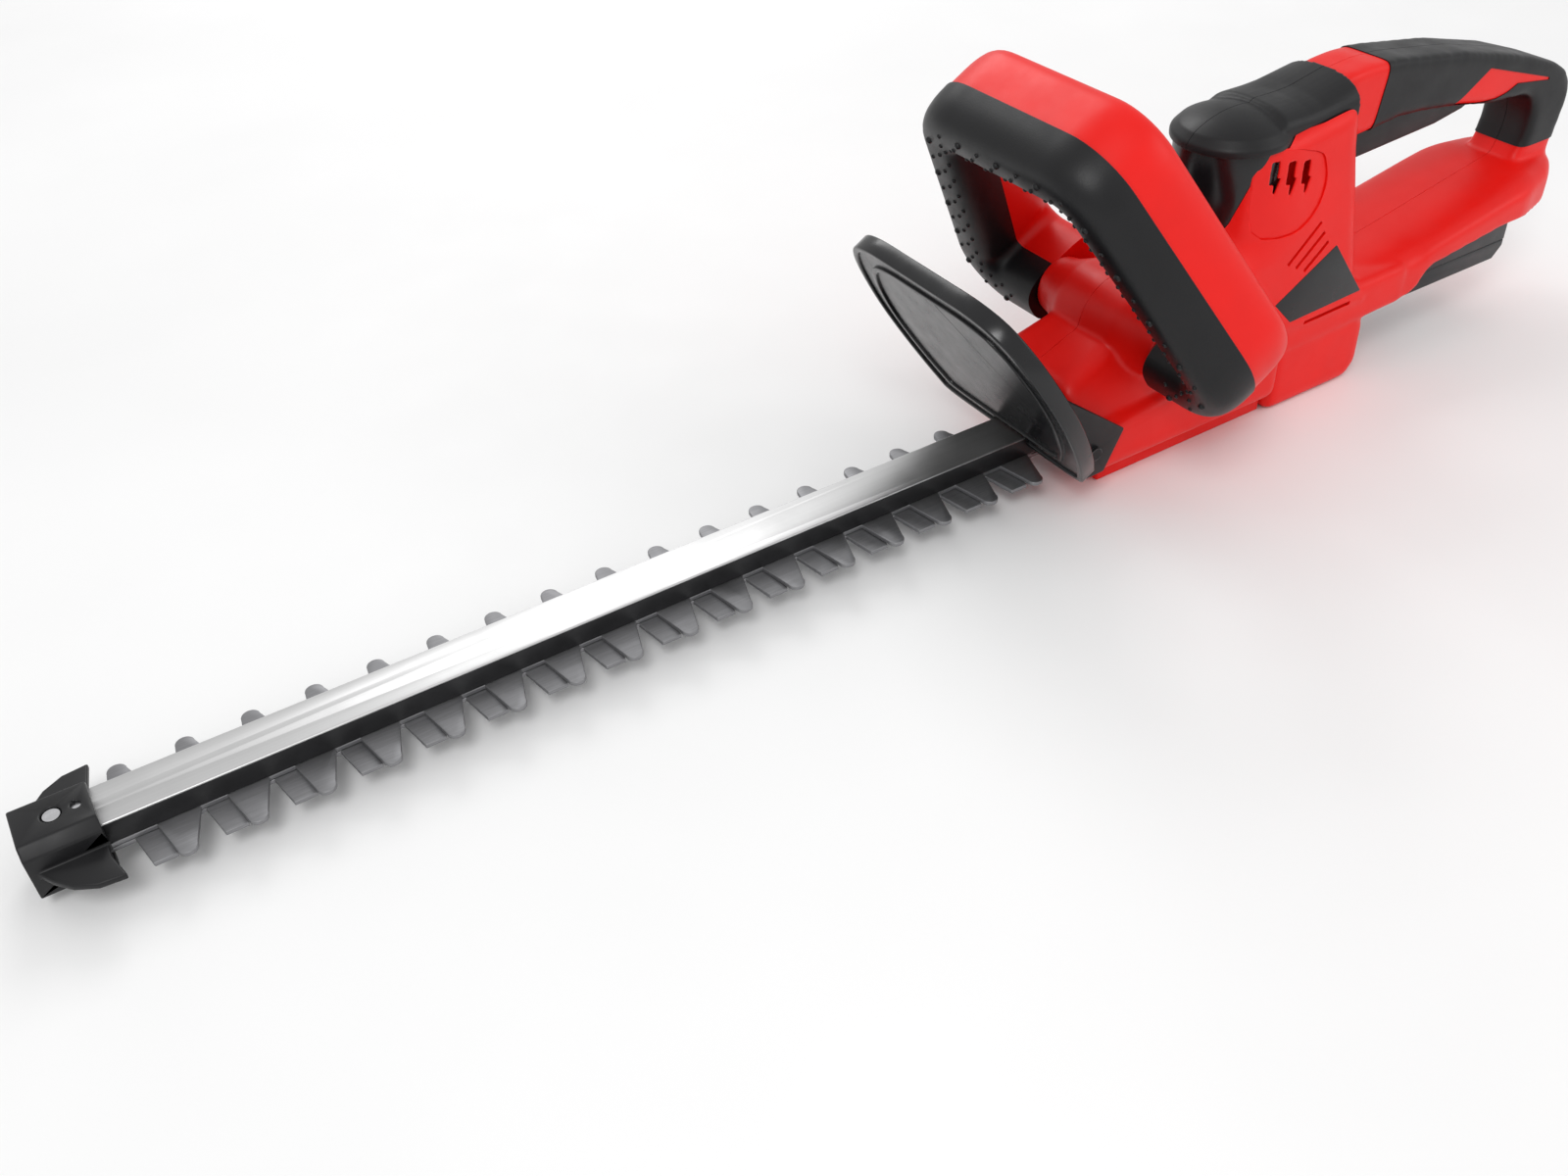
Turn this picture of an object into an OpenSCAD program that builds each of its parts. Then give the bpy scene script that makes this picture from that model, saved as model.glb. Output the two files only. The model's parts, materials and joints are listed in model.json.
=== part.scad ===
// Cordless hedge trimmer. The X axis runs along the blades: the tip is at -X and the
// rear handle at +X. The operator's left hand side is -Y. It stands on its flat base.
// Every part is drawn at its blade station: x = 0 is mid blade, z = 0 is the top face
// of the upper blade. place() then moves it so that the origin is under the middle.

/* [Blades] */
// Distance from one tooth to the next
tooth_pitch = 30; // [28:0.5:30]
// Teeth on each side of a blade
teeth = 16; // [12:1:16]
// Distance from the centre line to a long tooth's tip
tooth_reach = 35.4; // [32:0.2:36]
// Thickness of one blade
blade_t = 2.3; // [2:0.1:2.4]
// Throw of each eccentric
throw_e = 5; // [4:0.5:5]

/* [Guide bar] */
// Half the width of the guide bar
bar_half = 12.6; // [12:0.1:12.6]
// Height of the bar's top above the upper blade
bar_top = 12.4; // [12:0.1:12.6]

/* [Body] */
// Half the width of the lower body
body_half = 46; // [44:0.5:46]
// Wall thickness of the hollow handle
wall = 2.6; // [2:0.1:3]
// Half the width of the rear grip
grip_half = 17; // [15:0.5:17]

/* [Front handle] */
// Lean of the front handle towards the tip, in degrees
handle_lean = 30; // [26:1:32]
// Length of the handle's sides, measured along the lean
handle_side = 138; // [125:1:140]
// Half the distance between the handle's lower corners
handle_low_half = 90; // [84:1:90]
// Half the distance between the handle's upper corners
handle_top_half = 57; // [50:1:60]

/* [Gears] */
// Teeth on the drive gear
gear_teeth = 52; // [52:1:52]
// Teeth on the motor pinion
pinion_teeth = 10; // [10:1:10]

/* [Battery] */
// Half the width of the battery pack
pack_half = 36.5; // [34:0.5:37]
// Radius of one cell
cell_r = 9.1; // [9:0.1:9.2]

/* [Hidden] */
$fn = 48;
// Overall stations, which fix the origin
tip_x = -373;
rear_x = 554;
floor_z = -18;
// Blade stack
blade_gap = 0.3;
upper_z = -blade_t;
lower_z = -2 * blade_t - blade_gap;
first_tooth_x = -314;
stagger = tooth_pitch / 2;
tooth_root = 12;
blade_front_x = -352;
blade_neck_x = 150;
bar_front_x = -366;
// Blade bolts, in pairs along the centre line
bolt_x = [-318, -230, -142, -54, 34, 104];
bolt_r = 3;
slot_r = bolt_r + 0.4;
// Drive
gear_x = 252;
gear_module = 1;
bar_rear_x = gear_x - 27;
motor_x = gear_x + (gear_teeth + pinion_teeth) * gear_module / 2;
gear_z = 3.2;
gear_h = 7;
cam_r = 11.5;
axle_r = 4;
run_gap = 0.05;
yoke_gap = 1.7;
// Motor
motor_z = 17;
motor_h = 64;
can_r = 18.5;
motor_shaft_r = 1.6;
// Barrel around the fan, and the cap on it
barrel_r = 29.5;
cap_r = 32;
fan_r = 24;
fan_z = 101;
// Front handle
hub_x = 218;
hub_z = 60;
hub_r = 16;
grip_r = 15.5;
corner_r = 20;
shell_front = 28;
shell_split = -4;
shell_back = 26;
spigot_r = 8;
spigot_end = 60;
boss_r = 5;
// Hand guard: the foot of its plane, its lean, thickness and corner radius
guard_x = 145.8;
guard_z = 7.3;
guard_lean = 30;
guard_t = 3.6;
guard_corner = 8;
// Rear handle and battery bay
pivot_x = 468;
pivot_z = 119;
pack_front_x = 387;
pack_rear_x = 492;
pack_z = 21;
cell_pitch = 18.4;
cell_z = pack_z + 11.2;
// Base cover and its screws
base_half = 34;
base_screw_x = [188, 210];
base_screw_y = 24;
// Screw sizes
screw_r = 2;
head_r = 3.6;

// ---------------------------------------------------------------- helpers

module place() {
    translate([-(tip_x + rear_x) / 2, 0, -floor_z]) children();
}

module block(x0, x1, y0, y1, z0, z1) {
    translate([x0, y0, z0]) cube([x1 - x0, y1 - y0, z1 - z0]);
}

// A side outline, drawn in X and Z, given a width from y0 to y1
module slab(points, y0, y1) {
    translate([0, y1, 0]) rotate([90, 0, 0]) linear_extrude(y1 - y0) polygon(points);
}

module pin_z(x, y, r, z0, z1) {
    translate([x, y, z0]) cylinder(h = z1 - z0, r = r);
}

module pin_y(x, z, r, y0, y1) {
    translate([x, y0, z]) rotate([-90, 0, 0]) cylinder(h = y1 - y0, r = r);
}

module both_sides() {
    children();
    mirror([0, 1, 0]) children();
}

// ---------------------------------------------------------------- blades

// One long tooth, with its tip at the origin's x and pointing to +Y
module long_tooth(reach) {
    tip_r = 4.4;
    polygon([[-8, tooth_root - 1], [11, tooth_root - 1], [tip_r, reach - tip_r],
        [-tip_r, reach - tip_r]]);
    translate([0, reach - tip_r]) circle(r = tip_r);
}

module short_tooth(reach) {
    polygon([[-9, tooth_root - 2], [9, tooth_root - 2], [5.5, reach], [-4.5, reach]]);
}

// The drive end of a blade: a cross slot in which the eccentric runs
module yoke_outline() {
    difference() {
        union() {
            translate([blade_neck_x - 1, -10]) square([gear_x - 17 - blade_neck_x, 20]);
            translate([gear_x - 18, -24]) square([36, 48]);
        }
        translate([gear_x - cam_r - yoke_gap, -cam_r - throw_e - 1])
            square([2 * (cam_r + yoke_gap), 2 * (cam_r + throw_e + 1)]);
    }
}

module bolt_slots() {
    for (x = bolt_x) {
        translate([x - throw_e - 0.5, -slot_r]) square([2 * throw_e + 1, 2 * slot_r]);
        for (s = [-1, 1]) translate([x + s * (throw_e + 0.5), 0]) circle(r = slot_r);
    }
}

module spine() {
    translate([blade_front_x, -tooth_root]) square([blade_neck_x - blade_front_x, 2 * tooth_root]);
}

module upper_blade() {
    color("silver") place() translate([0, 0, upper_z]) linear_extrude(blade_t) difference() {
        union() {
            spine();
            yoke_outline();
            for (i = [0 : teeth - 1]) {
                x = first_tooth_x + i * tooth_pitch;
                translate([x, 0]) mirror([0, 1]) long_tooth(tooth_reach);
                translate([x - stagger, 0]) long_tooth(tooth_reach);
            }
        }
        bolt_slots();
    }
}

module lower_blade() {
    reach = tooth_reach - 5;
    shift = 9;
    color("silver") place() translate([0, 0, lower_z]) linear_extrude(blade_t) difference() {
        union() {
            spine();
            yoke_outline();
            for (i = [0 : teeth - 1]) {
                x = first_tooth_x + i * tooth_pitch;
                translate([x - shift, 0]) rotate(180) short_tooth(reach);
                translate([x - stagger + shift, 0]) short_tooth(reach);
            }
        }
        bolt_slots();
    }
}

module guide_bar() {
    color([0.14, 0.14, 0.15]) place() difference() {
        block(bar_front_x, bar_rear_x, -bar_half + 0.4, bar_half - 0.4, blade_gap, bar_top - 1.2);
        block(bar_front_x - 1, bar_rear_x + 1, -9.4, 9.4, 3.6, bar_top - 2.4);
        for (x = bolt_x) pin_z(x, 0, bolt_r, -1, 5);
        for (x = [-357, -347]) pin_z(x, 0, screw_r, -1, bar_top);
    }
}

module bar_cover() {
    color("gainsboro") place() difference() {
        block(bar_front_x, bar_rear_x, -bar_half, bar_half, bar_top - 1.2, bar_top);
        for (x = [-357, -347]) pin_z(x, 0, screw_r, bar_top - 2, bar_top + 1);
    }
}

module blade_bolts() {
    color([0.2, 0.2, 0.2]) place() for (x = bolt_x) {
        pin_z(x, 0, bolt_r, lower_z - 5, 3.6);
        pin_z(x, 0, 5.5, 3.6, 6.6);
    }
}

module blade_washers() {
    color([0.3, 0.3, 0.3]) place() for (x = bolt_x) difference() {
        pin_z(x, 0, 7, lower_z - 1.3, lower_z - blade_gap);
        pin_z(x, 0, bolt_r + run_gap, lower_z - 2, lower_z);
    }
}

module blade_nuts() {
    color([0.1, 0.1, 0.1]) place() for (x = bolt_x) difference() {
        translate([x, 0, lower_z - 5]) cylinder(h = 3.7, r = 5.2, $fn = 6);
        pin_z(x, 0, bolt_r, lower_z - 6, lower_z - 1);
    }
}

// ---------------------------------------------------------------- tip guard

module tip_fin() {
    translate([-350, 12, 1.6]) linear_extrude(3.2) difference() {
        polygon([[-21, -2], [-20, 4], [-15.5, 12], [-9, 19.5], [0, 24.5], [11.5, 25.7],
            [8.5, 12], [8.5, -2]]);
        translate([-60, -60]) square([10, 10]);
    }
}

module tip_guard() {
    top = 17.6;
    color([0.08, 0.08, 0.09]) place() difference() {
        union() {
            difference() {
                block(tip_x, -341, -16.5, 16.5, -9.5, top);
                for (s = [-1, 1]) translate([tip_x - 1, s * 16.5, top]) rotate([45, 0, 0])
                    block(0, 50, -3.5, 3.5, -3.5, 3.5);
            }
            both_sides() tip_fin();
        }
        block(-367, -330, -bar_half - 0.05, bar_half + 0.05, 0, bar_top + 0.1);
        block(-359, -330, -14.5, 14.5, lower_z - 0.6, 0.3);
        block(-350, -330, -40, 40, lower_z - 0.6, 1.2);
        block(-352, -330, -8, 8, -20, 0);
        pin_z(-357, 0, screw_r, bar_top - 1, top + 1);
        pin_z(-347, 0, screw_r, bar_top - 1, top + 1);
        pin_z(-357, 0, 4.2, top - 2, top + 1);
    }
}

module tip_screws() {
    color("silver") place() {
        pin_z(-357, 0, screw_r, 4, 16);
        pin_z(-357, 0, 3.6, 15.6, 17);
        pin_z(-347, 0, screw_r, 4, 16.2);
    }
}

// ---------------------------------------------------------------- drive

// One spur gear. Slim teeth leave backlash, so that the pair turns freely.
module gear_outline(count, phase) {
    pitch_r = count * gear_module / 2;
    tip_r = pitch_r + 0.75 * gear_module;
    root_r = pitch_r - 1.05 * gear_module;
    step = 360 / count;
    half_root = step * 0.27;
    half_tip = step * 0.10;
    rotate(phase) polygon([for (i = [0 : count - 1]) for (c = [
        [root_r, -half_root], [tip_r, -half_tip], [tip_r, half_tip], [root_r, half_root]])
        let (a = i * step + c[1]) [c[0] * cos(a), c[0] * sin(a)]]);
}

module drive_gear() {
    color("goldenrod") place() translate([gear_x, 0, 0]) difference() {
        union() {
            translate([0, 0, gear_z]) linear_extrude(gear_h) gear_outline(gear_teeth, 0);
            translate([0, 0, upper_z - blade_gap / 2]) cylinder(h = gear_z + blade_t + 0.5, r = 8);
            translate([0, throw_e, upper_z]) cylinder(h = blade_t + 1, r = cam_r);
            translate([0, -throw_e, lower_z]) cylinder(h = blade_t, r = cam_r);
            translate([0, 0, lower_z]) cylinder(h = 3, r = 6);
        }
        translate([0, 0, lower_z - 1]) cylinder(h = 30, r = axle_r + run_gap);
    }
}

module gear_axle() {
    color("silver") place() {
        pin_z(gear_x, 0, axle_r, -12, 18);
    }
}

module axle_washer() {
    color("silver") place() difference() {
        pin_z(gear_x, 0, 7.5, gear_z + gear_h + 0.3, gear_z + gear_h + 1.3);
        pin_z(gear_x, 0, axle_r + run_gap, 0, 20);
    }
}

module motor_pinion() {
    color("darkgoldenrod") place() translate([motor_x, 0, gear_z - 0.4]) difference() {
        linear_extrude(gear_h + 1) gear_outline(pinion_teeth, 180 / pinion_teeth);
        translate([0, 0, -1]) cylinder(h = 20, r = motor_shaft_r);
    }
}

module motor_shaft() {
    armature_r = 12;
    color("silver") place() {
        pin_z(motor_x, 0, motor_shaft_r, gear_z - 2, fan_z + 22);
        pin_z(motor_x, 0, armature_r, motor_z + 8, motor_z + motor_h - 12);
    }
}

module cooling_fan() {
    vanes = 11;
    color("white") place() translate([motor_x, 0, fan_z]) difference() {
        union() {
            cylinder(h = 20, r = 5);
            cylinder(h = 2, r = fan_r);
            for (i = [0 : vanes - 1]) rotate(i * 360 / vanes) translate([4, -0.6, 0])
                cube([fan_r - 5, 1.2, 16]);
        }
        translate([0, 0, -1]) cylinder(h = 30, r = motor_shaft_r);
    }
}

module motor_can() {
    shell = 2;
    color([0.55, 0.56, 0.58]) place() difference() {
        pin_z(motor_x, 0, can_r, motor_z, motor_z + motor_h);
        pin_z(motor_x, 0, can_r - shell, motor_z + 2, motor_z + motor_h + 1);
        pin_z(motor_x, 0, motor_shaft_r + run_gap, 0, motor_z + 3);
        for (s = [-1, 1]) pin_z(motor_x, s * 11, 1.5, 0, motor_z + 3);
    }
}

module motor_end_cap() {
    color([0.1, 0.1, 0.11]) place() difference() {
        union() {
            pin_z(motor_x, 0, can_r - 0.5, motor_z + motor_h, motor_z + motor_h + 4);
            pin_z(motor_x, 0, can_r - 2, motor_z + motor_h - 6, motor_z + motor_h);
            for (s = [-1, 1]) block(motor_x - 2, motor_x + 2, s * 10 - 1, s * 10 + 1,
                motor_z + motor_h + 4, motor_z + motor_h + 10);
        }
        pin_z(motor_x, 0, motor_shaft_r + run_gap, motor_z + motor_h - 10, motor_z + motor_h + 12);
    }
}

module motor_screws() {
    color("silver") place() for (s = [-1, 1]) {
        pin_z(motor_x, s * 11, 1.5, 12, motor_z + 3.5);
        pin_z(motor_x, s * 11, 2.6, 11, 12.6);
    }
}

module gearbox_case() {
    top = 15.2;
    color([0.62, 0.63, 0.64]) place() difference() {
        union() {
            block(gear_x - 34, gear_x + 50.5, -31, 31, -10, top);
            pin_z(gear_x, 0, 9, top - 1, 19);
        }
        block(gear_x - 31, gear_x + 28, -28, 28, -11, gear_z + gear_h + 1.6);
        block(motor_x - 9, motor_x + 9, -9, 9, -11, gear_z + gear_h + 1.6);
        pin_z(motor_x, 0, 8.5, 0, top + 1);
        pin_z(gear_x, 0, axle_r, 0, 30);
        block(gear_x - 40, gear_x - 20, -13.2, 13.2, -11, 12.6);
        for (s = [-1, 1]) {
            pin_z(motor_x, s * 11, 1.5, 5, top + 3);
            pin_z(motor_x, s * 11, 3, 5, 12.6);
            for (dx = [-31, 46]) pin_z(gear_x + dx, s * 27, screw_r, -11, 8);
        }
    }
}

module gearbox_plate() {
    color([0.5, 0.5, 0.52]) place() difference() {
        block(gear_x - 34, gear_x + 50.5, -30, 30, -12.6, -10.1);
        pin_z(gear_x, 0, axle_r, -20, 0);
        for (s = [-1, 1]) for (dx = [-31, 46]) pin_z(gear_x + dx, s * 27, screw_r, -20, 0);
    }
}

module blade_seal() {
    color("saddlebrown") place() difference() {
        block(186, 191, -17, 17, -9, 16);
        block(180, 195, -bar_half - 0.05, bar_half + 0.05, -0.1, bar_top + 0.1);
        block(180, 195, -10.5, 10.5, lower_z - 0.4, 1);
    }
}

// ---------------------------------------------------------------- housing

// Side outlines of the housing, each as [x, z] points
lower_outline = [[152, -4], [300, -4], [300, 34], [236, 30], [152, 24]];
nose_outline = [[154, 20], [154, 46], [198, 64], [236, 74], [236, 20]];
mid_outline = [[225, 28], [225, 92], [262, 98], [270, 142], [346, 152], [347, 128], [350, 108],
    [358, 50], [372, 40], [372, 28]];
pillar_corner = [[318, 39.1], [338, 34], [350, 27], [380, 27], [380, 60], [318, 60]];
rail_outline = [[300, 22], [300, 34], [368, 43], [404, 47], [508, 68], [540, 69], [549, 62],
    [554, 50], [552, 45], [484, 44.6], [420, 37], [411, 24]];
rail_plan = [[300, 0], [300, 39.2], [500, 39.2], [528, 32], [545, 20], [rear_x, 8], [rear_x, 0]];
grip_outer = [[330, 140], [345, 160], [367, 162], [388, 160], [442, 151], [492, 138], [530, 124.5],
    [541, 118], [547, 110], [549, 100], [544, 72], [544, 60], [404, 44], [340, 44]];
grip_inner = [[354, 118], [354, 80], [362, 40], [404, 44], [500, 64], [511, 70], [517, 82],
    [518, 94], [515, 104], [506, 111], [475, 114], [440, 121], [400, 126], [372, 124]];
bay_outline = [[386.4, 20], [386.4, 41], [399.8, 44.2], [600, 44.2], [600, 10], [386.4, 10]];
vent_outline = [[273, 100], [298, 93], [314, 100], [321, 113], [320, 126], [312, 135], [277, 140]];
label_outline = [[291, 55], [335, 77], [359, 43], [304, 41]];
bulge_outline = [[300, floor_z], [366, floor_z], [373, -8], [373, 18], [366, 24], [300, 24]];

module housing_half_solid() {
    slab(lower_outline, 0, body_half);
    slab(nose_outline, 0, 32);
    pin_y(hub_x - 6, hub_z - 2, hub_r, 0, body_half);
    pin_y(hub_x, hub_z, spigot_r, body_half - 2, spigot_end);
    difference() {
        slab(mid_outline, 0, 39);
        translate([0, 0, 85]) linear_extrude(100) polygon(pillar_corner);
    }
    intersection() {
        slab(rail_outline, 0, 39.2);
        linear_extrude(100) polygon(rail_plan);
    }
    slab(bulge_outline, 0, 40);
    difference() {
        slab(grip_outer, 0, grip_half);
        slab(grip_inner, -1, grip_half + 1);
    }
}

module housing_cavities() {
    // Gearbox and blade entry
    block(gear_x - 35, 299.8, -1, 32, -20, 20);
    block(299, gear_x + 51.5, -1, 32, -13.4, 20);
    block(140, gear_x, -1, 13.4, -20, 13);
    block(185, 200, -1, 18, -20, 18);
    // Motor and wiring
    pin_z(motor_x, 0, can_r + 0.6, 10, 170);
    slab([[234, 28], [234, 88], [262, 94], [300, 94], [300, 136], [316, 137], [316, 88],
        [348, 80], [348, 28]], -1, 36);
    block(303, 366, -1, 36, -14, 30);
    slab([[430, 47], [500, 60], [540, 60], [540, 48]], -1, 22);
    // Battery bay and terminals
    slab(bay_outline, -1, pack_half + 0.5);
    block(372, 387, -1, 21, 25, 38.5);
    // Switch, trigger and its swing, and the trigger's pin
    pin_y(pivot_x, pivot_z, 2, -1, 11);
    slab([[363, 100], [474, 100], [474, 128], [440, 134], [425, 149], [378, 150], [363, 148]],
        -1, 9);
    slab([[378, 134], [430, 129], [470, 126], [500, 121], [512, 121], [490, 130], [440, 144],
        [378, 154]], -1, 12.5);
}

// Where screws join the halves: x, z, then the y of the outer face there
screw_points = [[166, 34, 32], [355, 152, 17], [530, 116, 17], [532, 80, 17], [341, 142, 32],
    [361, 35, 39]];

// The screws enter from the right. The left half has blind holes.
module housing_screw_holes() {
    for (p = screw_points) {
        pin_y(p[0], p[1], screw_r, 6 - p[2], p[2]);
        pin_y(p[0], p[1], head_r, p[2] - 4, p[2] + 10);
    }
}

module housing_half(side) {
    place() difference() {
        mirror([0, side > 0 ? 0 : 1, 0]) difference() {
            housing_half_solid();
            housing_cavities();
            barrel_room();
            pad_room();
        }
        housing_screw_holes();
        base_screw_holes();
        for (s = [-1, 1]) pin_y(160, 16, screw_r, s > 0 ? 40 : -47, s > 0 ? 47 : -40);
    }
}

module housing_left() {
    color("red") housing_half(-1);
}

module housing_right() {
    color("red") housing_half(1);
}

// Room for the barrel cover, the cap, the vent panel and the label
module barrel_room() {
    pin_z(motor_x, 0, barrel_r + 0.3, 92, 176);
    pin_z(motor_x, 0, cap_r + 0.3, 140, 176);
    block(motor_x, 347, -1, 28.3, 146, 170);
    slab(vent_outline, 36.6, 50);
    slab(label_outline, 38, 50);
}

module pad_room() {
    slab([[371, 120], [380, 170], [440, 170], [466, 138], [523, 119], [523, 117], [494, 122],
        [486, 118], [477, 116], [440, 124], [400, 129]], grip_half - 2.6, grip_half + 5);
    slab([[508, 76], [508, 117], [494, 121.6], [523, 117], [523, 119], [466, 138], [440, 152],
        [440, 170], [580, 160], [580, 76]], grip_half - 2.6, grip_half + 5);
}

module housing_screws() {
    color([0.25, 0.25, 0.26]) place() for (p = screw_points) {
        pin_y(p[0], p[1], screw_r - 0.05, 6 - p[2], p[2] - 4);
        pin_y(p[0], p[1], head_r - 0.2, p[2] - 4, p[2] - 1.6);
    }
}

module barrel_cover() {
    color([0.09, 0.09, 0.1]) place() difference() {
        union() {
            pin_z(motor_x, 0, barrel_r, 100, 140);
            translate([motor_x, 0, 92.3]) cylinder(h = 7.7, r1 = barrel_r - 4, r2 = barrel_r);
        }
        pin_z(motor_x, 0, barrel_r - 2.4, 90, 150);
        block(motor_x + 8, motor_x + 50, -50, 50, 90, 150);
    }
}

// The cap over the motor: a shallow dome in front and a raised, rounded back
module cap_solid() {
    pin_z(motor_x, 0, cap_r, 140.3, 144);
    intersection() {
        pin_z(motor_x, 0, cap_r - 1, 140.3, 162);
        translate([motor_x + 4, 0, 93]) sphere(r = 62, $fn = 96);
    }
    intersection() {
        slab([[motor_x, 146.3], [motor_x + 12, 157], [312, 156.5], [322, 157], [346.5, 161.6],
            [346.5, 146.3]], -28, 28);
        translate([200, 0, 129]) rotate([0, 90, 0]) cylinder(h = 200, r = 32.6);
    }
}

module cap_half(side) {
    place() difference() {
        intersection() {
            cap_solid();
            block(200, 400, side > 0 ? 0 : -50, side > 0 ? 50 : 0, 140, 170);
        }
        pin_z(motor_x, 0, cap_r - 5, 139, 148);
        block(motor_x, 342, -22, 22, 139, 149);
    }
}

module motor_cap_left() {
    color([0.1, 0.1, 0.11]) cap_half(-1);
}

module motor_cap_right() {
    color([0.1, 0.1, 0.11]) cap_half(1);
}

module vent_panel(side) {
    place() mirror([0, side > 0 ? 0 : 1, 0]) difference() {
        slab(vent_outline, 36.6, 39.2);
        for (i = [0 : 2]) translate([277 + 11 * i, 36, 117 - 2 * i]) rotate([0, 5, 0])
            cube([5, 6, 17]);
    }
}

module vent_panel_left() {
    color("red") vent_panel(-1);
}

module vent_panel_right() {
    color("red") vent_panel(1);
}

module label_plate(side) {
    place() mirror([0, side > 0 ? 0 : 1, 0])
        slab(label_outline, 38, 39.6);
}

module label_left() {
    color("black") label_plate(-1);
}

module label_right() {
    color("black") label_plate(1);
}

module base_cover() {
    color("red") place() difference() {
        union() {
            block(178, 299.6, -base_half, base_half, floor_z, -13);
            both_sides() block(178, 299.6, base_half - 2.4, base_half, -13, -4.2);
        }
        base_screw_holes();
        block(160, 190, -13.4, 13.4, -14.5, 0);
    }
}

module base_screw_holes() {
    both_sides() for (x = base_screw_x) {
        pin_z(x, base_screw_y, screw_r, floor_z - 1, 6);
        pin_z(x, base_screw_y, head_r, floor_z - 1, floor_z + 2);
    }
}

module base_screws() {
    color("silver") place() both_sides() for (x = base_screw_x) {
        pin_z(x, base_screw_y, screw_r, floor_z + 2, 6);
        pin_z(x, base_screw_y, head_r - 0.2, floor_z + 0.3, floor_z + 2);
    }
}

// ---------------------------------------------------------------- guard

// The hand guard leans towards the tip. Its outline is drawn in its own plane.
module guard_plane() {
    translate([guard_x, 0, guard_z]) rotate([0, -guard_lean, 0]) rotate([0, 90, 0])
        rotate([0, 0, 90]) linear_extrude(guard_t) children();
}

module guard_outline() {
    offset(r = guard_corner) offset(delta = -guard_corner) polygon([[-57.5, 0], [-71, 33],
        [-77, 66], [-74, 98], [-63, 131], [63, 131], [74, 98], [77, 66], [71, 33], [57.5, 0]]);
}

module hand_guard() {
    color([0.07, 0.07, 0.08]) place() difference() {
        guard_plane() guard_outline();
        block(120, 170, -13.4, 13.4, -20, 13.2);
    }
}

module guard_bracket(side) {
    place() mirror([0, side > 0 ? 0 : 1, 0]) difference() {
        slab([[150, 7.5], [113.4, 71], [121, 70], [180, 23.5], [168, 1], [156, 0.6]],
            body_half + 0.1, body_half + 3);
        pin_y(160, 16, screw_r, 40, 60);
    }
}

module guard_bracket_left() {
    color([0.05, 0.05, 0.05]) guard_bracket(-1);
}

module guard_bracket_right() {
    color([0.05, 0.05, 0.05]) guard_bracket(1);
}

module guard_screws() {
    color([0.2, 0.2, 0.2]) place() for (s = [-1, 1]) {
        pin_y(160, 16, screw_r - 0.05, s > 0 ? 40 : -body_half - 4, s > 0 ? body_half + 4 : -40);
        pin_y(160, 16, head_r, s > 0 ? body_half + 3 : -body_half - 5,
            s > 0 ? body_half + 5 : -body_half - 3);
    }
}

// ---------------------------------------------------------------- front handle

// The handle's plane: x across the tool, y up the lean, z towards the operator
module handle_plane() {
    translate([hub_x, 0, hub_z]) rotate([0, -handle_lean, 0]) rotate([0, 90, 0])
        rotate([0, 0, 90]) children();
}

module handle_corners(r) {
    hull() for (s = [-1, 1]) {
        translate([s * (handle_low_half - corner_r), corner_r]) circle(r = r);
        translate([s * (handle_top_half - corner_r), handle_side - corner_r]) circle(r = r);
    }
}

module handle_ring(r) {
    difference() {
        handle_corners(corner_r + r);
        handle_corners(corner_r - r);
    }
}

// Half of the hollow handle, between two heights over its plane
module handle_shell(z0, z1, r) {
    place() difference() {
        handle_plane() translate([0, 0, z0]) linear_extrude(z1 - z0) handle_ring(r);
        difference() {
            handle_plane() translate([0, 0, wall - shell_front])
                linear_extrude(shell_front + shell_back - 2 * wall) handle_ring(r - wall);
            block(150, 260, -spigot_end - 1, spigot_end + 1, 0, 92);
            handle_posts(boss_r, -shell_front, shell_back);
        }
        block(150, 260, -body_half - 0.05, body_half + 0.05, 0, 92);
        pin_y(hub_x, hub_z, spigot_r + run_gap, -spigot_end - 0.1, spigot_end + 0.1);
        handle_posts(screw_r, -20, shell_back + 1);
        handle_posts(head_r, shell_back - 3, shell_back + 1);
    }
}

// Round posts at the four places where screws join the handle's shells
module handle_posts(r, z0, z1) {
    for (p = [[-76.5, 60], [76.5, 60], [-46, handle_side], [46, handle_side]])
        handle_plane() translate([p[0], p[1], z0]) cylinder(h = z1 - z0, r = r);
}

module handle_front_shell() {
    color([0.1, 0.1, 0.11]) handle_shell(-shell_front, shell_split - 0.05, grip_r);
}

module handle_rear_shell() {
    color("red") handle_shell(shell_split, shell_back, grip_r - 1.5);
}

module handle_screws() {
    color("silver") place() {
        handle_posts(screw_r - 0.05, -20, shell_back - 3);
        handle_posts(head_r - 0.2, shell_back - 3, shell_back - 1);
    }
}

// ---------------------------------------------------------------- rear handle

module grip_pad(side) {
    place() mirror([0, side > 0 ? 0 : 1, 0]) difference() {
        intersection() {
            slab(grip_outer, grip_half - 2.5, grip_half + 0.4);
            slab([[371.4, 120], [380.4, 169.6], [440, 170], [465, 138.6], [443, 124], [400, 129.4]],
                0, 30);
        }
    }
}

module grip_pad_left() {
    color([0.1, 0.1, 0.11]) grip_pad(-1);
}

module grip_pad_right() {
    color([0.1, 0.1, 0.11]) grip_pad(1);
}

module post_pad(side) {
    place() mirror([0, side > 0 ? 0 : 1, 0]) difference() {
        intersection() {
            slab(grip_outer, grip_half - 2.5, grip_half + 0.4);
            slab([[508, 77], [508, 117], [523.4, 117], [523.4, 119.4], [468, 138.4], [454, 170],
                [580, 160], [580, 77]], 0, 30);
        }
        slab(grip_inner, -1, 50);
        if (side > 0) for (p = screw_points) pin_y(p[0], p[1], head_r, 0, 50);
    }
}

module post_pad_left() {
    color([0.1, 0.1, 0.11]) post_pad(-1);
}

module post_pad_right() {
    color([0.1, 0.1, 0.11]) post_pad(1);
}

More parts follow.
